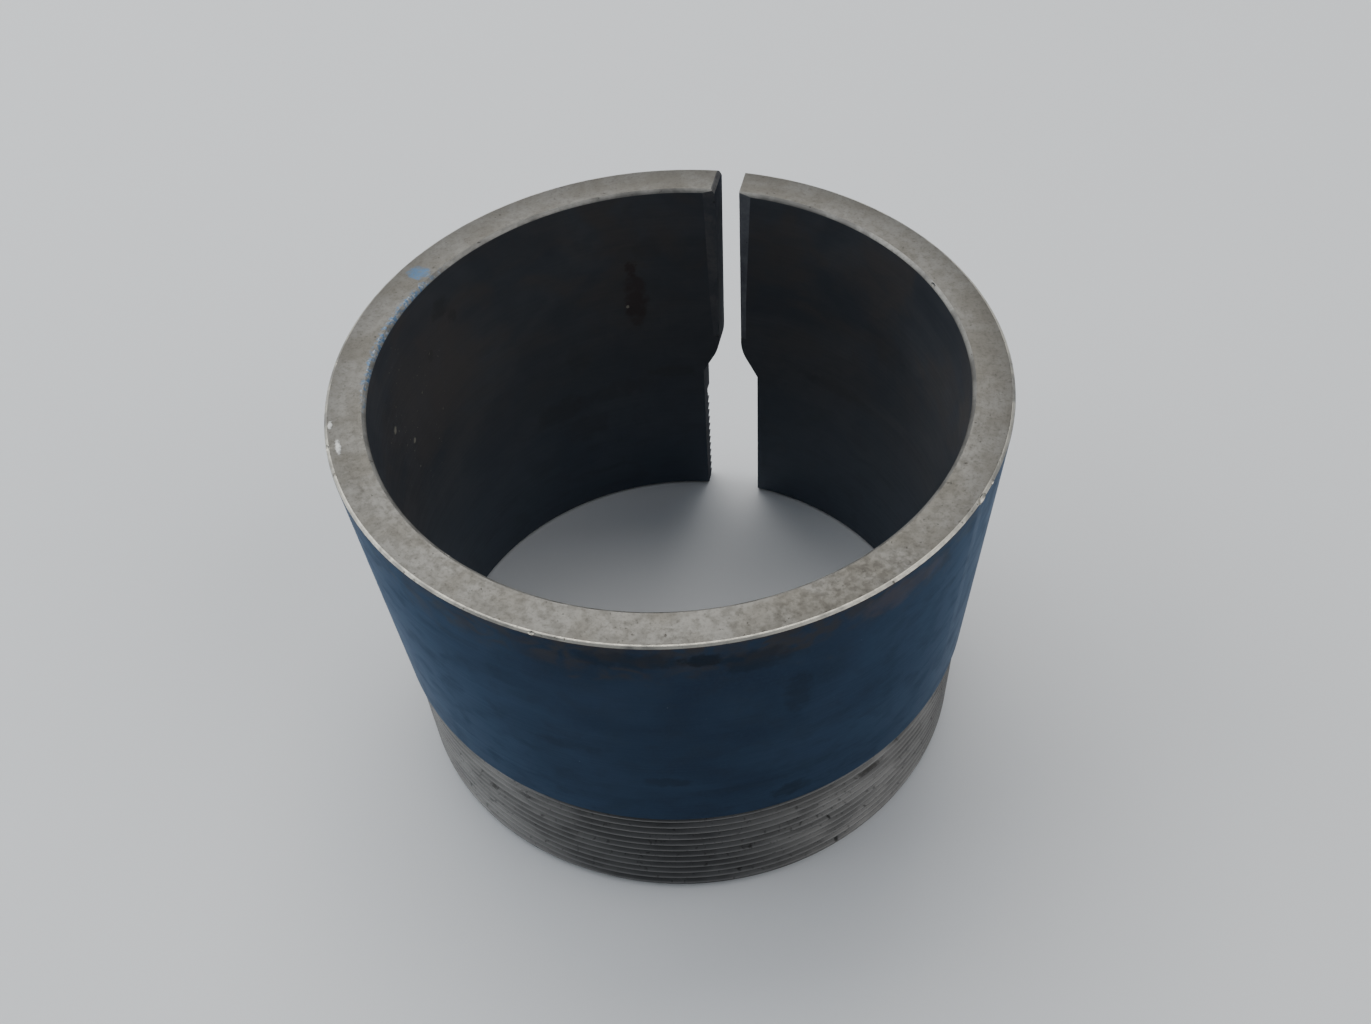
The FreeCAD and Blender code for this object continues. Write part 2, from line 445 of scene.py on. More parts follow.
@dataclass(frozen=True)
class PaintTraces:
    """Old blue paint: flecks along the bore's edge and one dab on the end face."""

    blue: Colour = (0.085, 0.17, 0.29)
    white: Colour = (0.36, 0.40, 0.44)

    def over(self, r: Recipe, colour: object, with_dab: bool) -> bpy.types.NodeSocket:
        """Lay the paint over a colour.

        Args:
            r: The material's recipe.
            colour: What is under the paint.
            with_dab: Add the dab as well as the flecks.

        Returns:
            The colour with the paint on it.
        """
        worn = r.ease(r.solid_noise(1.0, 5), 0.44, 0.56)
        mask = r.both(r.dab(178, 19, 51.1, 1.0), worn)
        if with_dab:
            dab = r.both(r.dab(160.1, 1.7, 54.0, 2.0), r.ease(r.solid_noise(0.4, 3), 0.26, 0.44))
            mask = r.math("MAXIMUM", mask, dab)
        flaked = r.ease(r.solid_noise(0.6, 4), 0.50, 0.62)
        beyond = r.both(flaked, r.ease(r.radius, 52.4 * MM, 51.6 * MM))
        return r.mix(r.math("MULTIPLY", mask, 0.9), colour, r.mix(beyond, self.blue, self.white))


@dataclass(frozen=True)
class GroundSteel:
    """Bare end faces, ground flat and gone grey-brown in store."""

    name: str = "ground_steel"
    clean: Colour = (0.208, 0.202, 0.186)
    aged: Colour = (0.143, 0.133, 0.113)
    stain: Colour = (0.055, 0.048, 0.040)
    chip: Colour = (0.60, 0.60, 0.58)
    metal: float = 0.7
    paint: PaintTraces = PaintTraces()

    def build(self) -> bpy.types.Material:
        """Mottled grey with brown patches, fine pits, two chips and traces of paint."""
        r = Recipe(self.name)
        r.shader.inputs["Metallic"].default_value = self.metal
        cloud = r.ease(r.solid_noise(8, 6, 0.5), 0.36, 0.66)
        mottle = r.ease(r.solid_noise(1.3, 8, 0.2), 0.36, 0.72)
        grain = r.solid_noise(0.40, 5)
        rubbed = r.noise(r.wrapped(0.05, 0, 2.4), 1.0, 5)
        colour = r.mix(r.math("MULTIPLY", cloud, 0.8), self.clean, self.aged)
        colour = r.mix(r.math("MULTIPLY", mottle, 0.5), colour, self.aged)
        colour = r.mix(r.math("MULTIPLY", rubbed, 0.25), colour, self.aged)
        colour = r.mix(r.math("MULTIPLY", r.ease(grain, 0.45, 0.75), 0.35), colour, self.stain)
        blotch = r.both(r.dab(-48, 16, 54.4, 3.8), r.ease(r.solid_noise(1.0, 7), 0.42, 0.60))
        colour = r.mix(r.math("MULTIPLY", blotch, 0.40), colour, self.stain)
        smudge = r.both(r.dab(-143, 7, 54.8, 1.6), r.ease(r.solid_noise(1.0, 6), 0.45, 0.62))
        colour = r.mix(r.math("MULTIPLY", smudge, 0.25), colour, self.stain)
        pits = r.ease(r.solid_noise(0.8, 3), 0.68, 0.75)
        outer = r.math("MULTIPLY_ADD", r.solid_noise(1.0, 4), 1.6 * MM, r.radius)
        rim = r.ease(outer, 57.75 * MM, 58.3 * MM)
        chipped = r.both(rim, r.ease(r.solid_noise(0.9, 5), 0.5, 0.6))
        dark = r.math("MAXIMUM", pits, chipped)
        colour = r.mix(r.math("MULTIPLY", dark, 0.65), colour, self.stain)
        chips = r.math("MAXIMUM", r.dab(-151.7, 1.6, 55.75, 0.5), r.dab(-157.3, 0.9, 56.7, 0.4))
        colour = r.mix(r.math("MULTIPLY", chips, 0.9), colour, self.chip)
        colour = self.paint.over(r, colour, with_dab=True)
        roughness = r.math("MULTIPLY_ADD", rubbed, 0.16, r.math("MULTIPLY_ADD", mottle, 0.12, 0.36))
        bumps = [(rubbed, 0.010), (grain, 0.012), (mottle, 0.006), (dark, -0.03), (chips, -0.06)]
        return r.finish(colour, roughness, bumps)


@dataclass(frozen=True)
class OxideSeat:
    """Black oxide on the tapered seat, rubbed and browned near the top; its blue tint is partly the
    oxide and partly painted reflection of blue surroundings.
    """

    name: str = "oxide_seat"
    # deep and pale carry a blue tint that is partly the oxide and partly painted reflection of blue
    # surroundings
    deep: Colour = (0.013, 0.021, 0.038)
    pale: Colour = (0.022, 0.036, 0.062)
    grey: Colour = (0.029, 0.034, 0.042)
    brown: Colour = (0.036, 0.031, 0.028)
    tint: Colour = (0.075, 0.055, 0.048)
    dark: Colour = (0.008, 0.009, 0.010)
    speck: Colour = (0.12, 0.14, 0.16)

    def build(self) -> bpy.types.Material:
        """Blue-grey, the blue partly painted reflection, with ground lines, smudges, a browned top
        and small dark marks.
        """
        r = Recipe(self.name)
        r.shader.inputs["Metallic"].default_value = 0.6
        r.shader.inputs["Specular IOR Level"].default_value = 0.2
        # Painted reflection: the blue specular tint stands in for blue surroundings.
        r.shader.inputs["Specular Tint"].default_value = (0.5, 0.70, 1.0, 1)
        lines = r.noise(r.wrapped(0.02, 2.2, 0), 1.0, 6)
        drift = r.ease(r.noise(r.wrapped(0.6, 1, 0), 0.07, 7, 0.6), 0.32, 0.68)
        smudges = r.ease(r.noise(r.wrapped(0.8, 1, 0), 0.25, 8, 0.4), 0.42, 0.72)
        grain = r.solid_noise(0.5, 5)
        colour = r.mix(drift, self.deep, self.pale)
        colour = r.mix(r.math("MULTIPLY", smudges, 0.30), colour, self.grey)
        colour = r.mix(r.math("MULTIPLY", lines, 0.30), colour, self.deep)
        colour = r.mix(r.math("MULTIPLY", r.ease(grain, 0.35, 0.75), 0.30), colour, self.pale)
        height = r.math("MULTIPLY_ADD", r.noise(r.wrapped(0.7, 1, 0), 0.16, 7, 1.2), 26 * MM, r.z)
        patchy = r.ease(r.noise(r.wrapped(0.8, 1, 0), 0.35, 7, 0.8), 0.34, 0.62)
        browned = r.both(r.ease(height, 84 * MM, 93 * MM), patchy)
        colour = r.mix(r.math("MULTIPLY", browned, 0.85), colour, self.brown)
        right = r.ease(r.angle, math.radians(42), math.radians(80))
        colour = r.mix(r.math("MULTIPLY", r.both(right, drift), 0.5), colour, self.grey)
        colour = r.mix(r.math("MULTIPLY", r.spot(-39, 8, 77, 3.0), 0.45), colour, self.tint)
        for angle, across, height_mm, tall, amount in (
            (-72, 3.0, 77.2, 1.6, 0.75),
            (-64, 6.0, 75.0, 3.0, 0.45),
            (-83, 9.0, 77.5, 2.2, 0.40),
            (-57, 2.2, 63.0, 6.0, 0.40),
            (-79, 4.0, 41.0, 1.6, 0.45),
            (-57, 3.4, 32.0, 2.4, 0.60),
            (-96, 6.0, 50.0, 1.4, 0.25),
            (-66, 8.0, 37.0, 1.2, 0.25),
            (60, 7.0, 66.0, 3.5, 0.35),
            (140, 9.0, 48.0, 2.0, 0.35),
            (-170, 5.0, 70.0, 4.0, 0.35),
        ):
            mark = r.math("MULTIPLY", r.spot(angle, across, height_mm, tall), amount)
            colour = r.mix(mark, colour, self.dark)
        specks = r.ease(r.solid_noise(0.7, 3), 0.755, 0.80)
        colour = r.mix(r.math("MULTIPLY", specks, 0.5), colour, self.speck)
        edge = r.ease(r.math("MULTIPLY_ADD", grain, 0.5 * MM, r.z), 80.55 * MM, 80.95 * MM)
        colour = r.mix(r.math("MULTIPLY", edge, 0.6), colour, self.tint)
        roughness = r.math("MULTIPLY_ADD", lines, 0.12, r.math("MULTIPLY_ADD", smudges, 0.08, 0.34))
        return r.finish(colour, roughness, [(lines, 0.008), (grain, 0.006)])


@dataclass(frozen=True)
class OxideBore:
    """Black oxide in the bore, slate grey with brown clouds and dark stains, with painted blue
    floor light towards its foot.
    """

    name: str = "oxide_bore"
    deep: Colour = (0.046, 0.052, 0.063)
    pale: Colour = (0.070, 0.074, 0.083)
    # low is painted light: a lighter blue that stands in for blue floor light on the lower bore
    low: Colour = (0.060, 0.088, 0.126)
    brown: Colour = (0.076, 0.069, 0.066)
    dark: Colour = (0.034, 0.033, 0.035)
    rust: Colour = (0.046, 0.033, 0.033)
    speck: Colour = (0.34, 0.32, 0.26)

    def build(self) -> bpy.types.Material:
        """Bored lines, soft clouds, streaks, a drip stain, specks of dust and painted floor light
        low down.
        """
        r = Recipe(self.name)
        r.shader.inputs["Metallic"].default_value = 0.2
        r.shader.inputs["Specular IOR Level"].default_value = 0.3
        lines = r.noise(r.wrapped(0.02, 1.8, 0), 1.0, 6)
        cloud = r.ease(r.noise(r.wrapped(0.7, 1, 0), 0.06, 7, 0.8), 0.36, 0.66)
        smudges = r.ease(r.noise(r.wrapped(0.5, 1, 0), 0.26, 7, 0.8), 0.44, 0.70)
        grain = r.solid_noise(0.5, 5)
        colour = r.mix(cloud, self.deep, self.pale)
        # Painted light: the bore turns lighter and bluer towards its foot, as if lit from a blue
        # floor.
        foot = r.ease(r.z, 50 * MM, 2 * MM)
        colour = r.mix(r.math("MULTIPLY", foot, 0.6), colour, self.low)
        upper = r.ease(r.z, 24 * MM, 70 * MM)
        browned = r.ease(r.noise(r.wrapped(0.8, 1, 0), 0.075, 7, 1.0), 0.40, 0.66)
        colour = r.mix(r.math("MULTIPLY", r.both(upper, browned), 0.75), colour, self.brown)
        colour = r.mix(r.math("MULTIPLY", smudges, 0.30), colour, self.deep)
        colour = r.mix(r.math("MULTIPLY", lines, 0.22), colour, self.dark)
        colour = r.mix(r.math("MULTIPLY", r.spot(170, 17, 62, 16), 0.55), colour, self.brown)
        for angle, across, height, tall, amount in (
            (104.0, 6.0, 35.5, 1.6, 0.55),
            (118.0, 9.0, 32.5, 2.4, 0.45),
            (133.0, 7.0, 31.5, 3.2, 0.55),
            (127.0, 3.0, 44.0, 4.0, 0.40),
            (127.0, 6.0, 24.0, 4.0, 0.40),
            (160.0, 2.6, 74.0, 2.0, 0.75),
            (157.0, 1.4, 70.5, 1.6, 0.60),
            (166.0, 1.0, 66.5, 1.4, 0.50),
            (108.0, 3.5, 68.0, 3.0, 0.35),
            (62.0, 9.0, 40.0, 2.0, 0.40),
            (48.0, 7.0, 58.0, 4.0, 0.30),
            (-60.0, 8.0, 30.0, 3.0, 0.40),
            (-110.0, 9.0, 55.0, 3.0, 0.35),
        ):
            mark = r.math("MULTIPLY", r.spot(angle, across, height, tall), 0.6 * amount)
            colour = r.mix(mark, colour, self.dark)
        for angle, across, height, tall in ((111.7, 2.6, 56.0, 6.4), (112.2, 1.3, 63.6, 1.8)):
            mark = r.math("MULTIPLY", r.spot(angle, across, height, tall), 0.8)
            colour = r.mix(mark, colour, self.rust)
        specks = r.both(r.spot(176, 14, 60, 19), r.ease(r.solid_noise(0.7, 2), 0.70, 0.76))
        for angle, height, size in ((-174, 64.0, 0.8), (178.9, 55.3, 0.55), (113.7, 54.2, 0.4)):
            specks = r.math("MAXIMUM", specks, r.spot(angle, size, height, size))
        colour = r.mix(r.math("MULTIPLY", specks, 0.7), colour, self.speck)
        roughness = r.math("MULTIPLY_ADD", lines, 0.14, r.math("MULTIPLY_ADD", cloud, 0.10, 0.40))
        return r.finish(colour, roughness, [(lines, 0.010), (grain, 0.006), (specks, 0.02)])


@dataclass(frozen=True)
class ThreadSteel:
    """Bare cut thread: grey crests and flanks, darker towards the roots."""

    name: str = "thread_steel"
    crest: Colour = (0.195, 0.192, 0.186)
    flank: Colour = (0.082, 0.081, 0.080)
    root_dark_and_dirt: Colour = (0.013, 0.012, 0.011)
    root: float = 53.78
    top: float = 54.93

    def build(self) -> bpy.types.Material:
        """Dark roots that clear towards the crests, with turned lines and stains."""
        r = Recipe(self.name)
        r.shader.inputs["Metallic"].default_value = 0.85
        lines = r.noise(r.wrapped(0.03, 5, 5), 1.0, 5)
        patches = r.ease(r.noise(r.wrapped(0.5, 1, 0), 0.14, 7, 0.8), 0.34, 0.66)
        # Darker towards the roots: the colour darkens from the root up the flanks, by radius.
        level = r.math("MULTIPLY_ADD", r.solid_noise(1.2, 5), 0.40 * MM, r.radius)
        clear = r.ease(level, (self.root + 0.15) * MM, (self.root + 0.75) * MM)
        colour = r.mix(r.math("MULTIPLY", patches, 0.45), self.flank, self.crest)
        worn = r.ease(r.radius, (self.top - 0.30) * MM, self.top * MM)
        colour = r.mix(r.math("MULTIPLY", worn, 0.7), colour, self.crest)
        colour = r.mix(r.math("SUBTRACT", 1, clear), colour, self.root_dark_and_dirt)
        speckle = r.ease(r.solid_noise(0.9, 5), 0.60, 0.72)
        grime = r.ease(r.noise(r.wrapped(0.6, 1, 0), 0.5, 6, 0.6), 0.66, 0.76)
        grime = r.math("MAXIMUM", grime, r.math("MULTIPLY", speckle, 0.6))
        colour = r.mix(r.math("MULTIPLY", grime, 0.55), colour, self.root_dark_and_dirt)
        for angle, across, height, tall in (
            (-38.4, 3.0, 21.5, 1.0),
            (-57, 1.2, 10.0, 0.6),
            (-66.7, 0.9, 5.3, 0.7),
            (-118, 1.0, 17.0, 0.5),
        ):
            mark = r.math("MULTIPLY", r.spot(angle, across, height, tall), 0.65)
            colour = r.mix(mark, colour, self.root_dark_and_dirt)
        polish = r.math("MULTIPLY_ADD", patches, -0.05, 0.36)
        roughness = r.math("MULTIPLY_ADD", lines, 0.20, polish)
        roughness = r.math("MULTIPLY_ADD", grime, 0.25, roughness)
        return r.finish(colour, roughness, [(lines, 0.010), (grime, 0.01)])


@dataclass(frozen=True)
class SlotWallSteel:
    """Walls of the slot: milled, then blackened, with the tool's marks along them."""

    name: str = "slot_wall_steel"
    dark: Colour = (0.012, 0.015, 0.024)
    pale: Colour = (0.024, 0.029, 0.042)
    bare: Colour = (0.12, 0.12, 0.115)

    def build(self) -> bpy.types.Material:
        """Fine marks along the wall, cloudy oxide and rubbed corners."""
        r = Recipe(self.name)
        r.shader.inputs["Specular IOR Level"].default_value = 0.06
        marks = r.noise(r.wrapped(0.1, 0.15, 3.0), 1.0, 5)
        cloud = r.ease(r.solid_noise(5, 6, 0.5), 0.36, 0.66)
        colour = r.mix(cloud, self.dark, self.pale)
        colour = r.mix(r.math("MULTIPLY", marks, 0.4), colour, self.dark)
        rubbed = r.math("MULTIPLY_ADD", r.solid_noise(0.8, 5), 0.8 * MM, r.z)
        colour = r.mix(r.ease(rubbed, 80.9 * MM, 81.4 * MM), colour, self.bare)
        roughness = r.math("MULTIPLY_ADD", marks, 0.2, 0.62)
        return r.finish(colour, roughness, [(marks, 0.015)])


@dataclass(frozen=True)
class RubbedEdge:
    """Broken corners, flats and the filed lip, rubbed by handling; the two flats' copies differ by
    painted light and shade.
    """

    name: str
    bright: Colour
    dull: Colour
    stain: Colour
    shine: float
    metal: float = 0.85
    paint: PaintTraces | None = None

    def build(self) -> bpy.types.Material:
        """Steel with bright and dull stretches and small dark nicks."""
        r = Recipe(self.name)
        r.shader.inputs["Metallic"].default_value = self.metal
        wear = r.ease(r.solid_noise(7, 6, 0.8), 0.36, 0.62)
        fine = r.ease(r.solid_noise(0.7, 4), 0.40, 0.70)
        nicks = r.ease(r.solid_noise(1.1, 4), 0.66, 0.73)
        colour = r.mix(wear, self.dull, self.bright)
        colour = r.mix(r.math("MULTIPLY", fine, 0.3), colour, self.dull)
        colour = r.mix(r.math("MULTIPLY", nicks, 0.7), colour, self.stain)
        if self.paint:
            colour = self.paint.over(r, colour, with_dab=False)
        dulled = r.math("MULTIPLY_ADD", nicks, 0.2, self.shine)
        roughness = r.math("MULTIPLY_ADD", fine, 0.16, dulled)
        return r.finish(colour, roughness, [(fine, 0.008), (nicks, -0.02)])


class Zone(Enum):
    """The parts of the surface, each with its finish."""

    END_FACE = GroundSteel()
    SEAT = OxideSeat()
    BORE = OxideBore()
    THREAD = ThreadSteel()
    SLOT_WALL = SlotWallSteel()
    OUTER_RIM = RubbedEdge(
        "outer_rim",
        bright=(0.60, 0.57, 0.49),
        dull=(0.27, 0.26, 0.235),
        stain=(0.10, 0.09, 0.08),
        shine=0.34,
    )
    INNER_RIM = RubbedEdge(
        "inner_rim",
        bright=(0.30, 0.29, 0.265),
        dull=(0.16, 0.154, 0.142),
        stain=(0.05, 0.045, 0.04),
        shine=0.42,
        metal=0.6,
        paint=PaintTraces(),
    )
    # The two flats are one finish: the left copy is painted darker as painted shade, the right copy
    # lighter and bluer as painted light.
    LEFT_LAND = RubbedEdge(
        "left_land_painted_shade",
        bright=(0.090, 0.090, 0.094),
        dull=(0.058, 0.062, 0.072),
        stain=(0.030, 0.028, 0.030),
        shine=0.50,
        metal=0.25,
    )
    RIGHT_LAND = RubbedEdge(
        "right_land_painted_light",
        bright=(0.155, 0.160, 0.175),
        dull=(0.105, 0.110, 0.124),
        stain=(0.040, 0.038, 0.040),
        shine=0.50,
        metal=0.3,
    )
    LIP = RubbedEdge(
        "filed_lip",
        bright=(0.105, 0.103, 0.100),
        dull=(0.060, 0.059, 0.060),
        stain=(0.022, 0.02, 0.02),
        shine=0.50,
        metal=0.6,
    )


# -------------------------------------------------------------------- sleeve


@dataclass
class ThreadForm:
    """The right-hand 60 degree V thread on the small end."""

    crest: float = mount("thread")["dims"]["r_mm"] * MM
    top: float = mount("thread")["dims"]["length_mm"] * MM
    pitch: float = 25.4 / 12 * MM
    phase: float = -2.657 * MM
    depth_share: float = 0.54127
    root_half: float = 0.125
    crest_half: float = 0.0625
    softening: float = 0.05 * MM

    @property
    def root(self) -> float:
        """Radius at the bottom of the groove."""
        return self.crest - self.depth_share * self.pitch

    def section(self) -> list[Point]:
        """The zigzag from below the end face to above the last thread.

        Returns:
            Its corners, each broken into two points as a worn edge is.
        """
        soft, pitch = self.softening, self.pitch
        half_root, half_crest = self.root_half * pitch, self.crest_half * pitch
        points = []
        middle = self.phase - pitch
        while middle < self.top + 2 * pitch:
            land = middle + 0.5 * pitch
            up = Vector((self.crest - self.root, land - half_crest - middle - half_root))
            step = up.normalized() * soft
            points += [
                (self.root, 0, middle - half_root + soft),
                (self.root, 0, middle + half_root - soft),
                (self.root + step.x, 0, middle + half_root + step.y),
                (self.crest - step.x, 0, land - half_crest - step.y),
                (self.crest, 0, land - half_crest + soft),
                (self.crest, 0, land + half_crest - soft),
                (self.crest - step.x, 0, land + half_crest + step.y),
                (self.root + step.x, 0, middle + pitch - half_root - step.y),
            ]
            middle += pitch
        return points

    def build(self, columns: int) -> bpy.types.Object:
        """Screw the section round the bore axis and trim it at both ends.

        Args:
            columns: Steps in one turn.

        Returns:
            The open threaded skin.
        """
        piece = trace("thread_work", self.section())
        only(piece)
        screw = piece.modifiers.new("screw", "SCREW")
        screw.axis = "Z"
        screw.angle = math.tau
        screw.screw_offset = self.pitch
        screw.steps = screw.render_steps = columns
        bpy.ops.object.modifier_apply(modifier=screw.name)
        with Edit(piece) as edit:
            edit.everything()
            bpy.ops.mesh.remove_doubles(threshold=WELD)
            for height, above in ((0.0, True), (self.top, False)):
                edit.everything()
                bpy.ops.mesh.bisect(
                    plane_co=(0, 0, height),
                    plane_no=(0, 0, 1),
                    clear_inner=above,
                    clear_outer=not above,
                    threshold=1e-7,
                )
        return piece


@dataclass
class SlotForm:
    """The lengthwise slot on +Y: wide at the thread, flared into a narrow split."""

    wide: float = 5.9 * MM
    narrow: float = 2.35 * MM
    wide_length: float = 35.4 * MM
    flare: float = math.radians(28)
    blend: float = 10.0 * MM
    arc_steps: int = 10
    land_start: float = 45.5 * MM
    land_low: tuple[float, float] = (1.1 * MM, 0.14 * MM)
    land_high: tuple[float, float] = (2.3 * MM, 0.35 * MM)
    lip_across: float = 0.85 * MM
    lip_down: float = 1.25 * MM
    lip_round: tuple[float, float] = (0.12 * MM, 0.10 * MM)
    past: float = 2.0 * MM
    inside: float = 6.0 * MM

    def outline(self, top: float) -> list[tuple[float, float]]:
        """Right half of the slot from its foot upwards.

        Args:
            top: Height of the large end face.

        Returns:
            Its corners as x and z.
        """
        arc_x = self.narrow + self.blend * (1 - math.cos(self.flare))
        arc_z = self.wide_length + (self.wide - arc_x) / math.tan(self.flare)
        end_z = arc_z + self.blend * math.sin(self.flare)
        points = [(self.wide, -self.past), (self.wide, self.wide_length)]
        for step in range(self.arc_steps + 1):
            turn = self.flare * (1 - step / self.arc_steps)
            side = self.narrow + self.blend * (1 - math.cos(turn))
            points.append((side, end_z - self.blend * math.sin(turn)))
        points.append((self.narrow, top + self.past))
        return points

    def cutter(self, bore: float, outside: float, top: float) -> bpy.types.Object:
        """A solid that fills the slot through the wall and both end faces.

        Args:
            bore: Radius of the bore.
            outside: Largest radius of the sleeve.
            top: Height of the large end face.

        Returns:
            The solid.
        """
        right = self.outline(top)
        near = bore - self.inside
        loop = [(x, near, z) for x, z in right] + [(-x, near, z) for x, z in reversed(right)]
        piece = trace("slot_work", loop, filled=True)
        extrude(piece, (0, outside + self.past - near, 0))
        return piece

    def land_corners(self, bore: float, size: tuple[float, float]) -> list[tuple[float, float]]:
        """Right half of the section that cuts the flats on the slot's bore-side edges.

        Args:
            bore: Radius of the bore.
            size: The flat's width and its depth at the slot.

        Returns:
            Its two corners as x and y, the first inside the open bore.
        """
        width, depth = size
        at_slot = math.sqrt(bore**2 - self.narrow**2) + depth
        at_bore = math.sqrt(bore**2 - (self.narrow + width) ** 2)
        return [(self.narrow + 2 * width, 2 * at_bore - at_slot), (self.narrow, at_slot)]

    def land_cutter(self, bore: float, top: float) -> bpy.types.Object:
        """A shallow wedge that flattens the bore along both edges of the split.

        Args:
            bore: Radius of the bore.
            top: Height of the large end face.

        Returns:
            The wedge, wider and deeper towards the top.
        """
        past_top = (top + self.past - self.land_start) / (top - self.land_start)
        low = self.land_corners(bore, self.land_low)
        high = self.land_corners(bore, self.land_high)
        right = [(x, y, self.land_start) for x, y in low]
        left = [(-x, y, self.land_start) for x, y in reversed(low)]
        piece = trace("land_work", right + left, filled=True)
        extrude(piece, (0, 0, top + self.past - self.land_start))
        with Edit(piece) as edit:
            for side in (1, -1):
                for (x, y), (far_x, far_y) in zip(low, high):
                    place = Vector((side * x, y, top + self.past))
                    edit.pick(lambda v: (v.co - place).length < 5 * WELD)
                    step = (side * (far_x - x) * past_top, (far_y - y) * past_top, 0)
                    bpy.ops.transform.translate(value=step)
        return piece

    def lip_cutter(self, bore: float, outside: float, top: float) -> bpy.types.Object:
        """A block that files off the left lip's corner at the large end face.

        Args:
            bore: Radius of the bore.
            outside: Largest radius of the sleeve.
            top: Height of the large end face.

        Returns:
            The block.
        """
        near, low, high = bore - self.inside, top - self.lip_down, top + self.past
        face = -self.narrow - self.lip_across
        round_x, round_z = self.lip_round
        loop = [
            (0, low),
            (0, high),
            (face, high),
            (face, top),
            (face + 2 * round_x, top - round_z),
            (-self.narrow - round_x, low + 3 * round_z),
            (-self.narrow, low),
        ]
        piece = trace("lip_work", [(x, near, z) for x, z in loop], filled=True)
        extrude(piece, (0, outside + self.past - near, 0))
        return piece


@dataclass
class Nick:
    """A small knock in an edge, made with a blunt round block."""

    angle: float
    radius: float
    height: float
    long: float
    deep: float
    lean: float = 45.0

    def cutter(self) -> bpy.types.Object:
        """A rounded, slightly squashed block laid across the edge.

        Returns:
            The closed block.
        """
        middle = around(self.angle, self.radius * MM, self.height * MM)
        bpy.ops.object.select_all(action="DESELECT")
        bpy.ops.mesh.primitive_uv_sphere_add(
            segments=14,
            ring_count=9,
            radius=1,
            location=middle,
            scale=(self.deep * MM, self.long * MM, self.deep * 1.4 * MM),
            rotation=(0, math.radians(self.lean), math.radians(self.angle)),
        )
        piece = bpy.context.active_object
        piece.name = "nick_work"
        bpy.ops.object.transform_apply(location=True, rotation=True, scale=True)
        with Edit(piece) as edit:
            edit.pick(lambda v: (v.co - middle).length > 0.6 * self.long * MM)
            bpy.ops.transform.resize(value=(0.7, 0.9, 0.8), center_override=middle)
            edit.pick(lambda v: v.co.z > middle.z)
            bpy.ops.transform.translate(value=(0.06 * MM, -0.05 * MM, 0))
        return piece


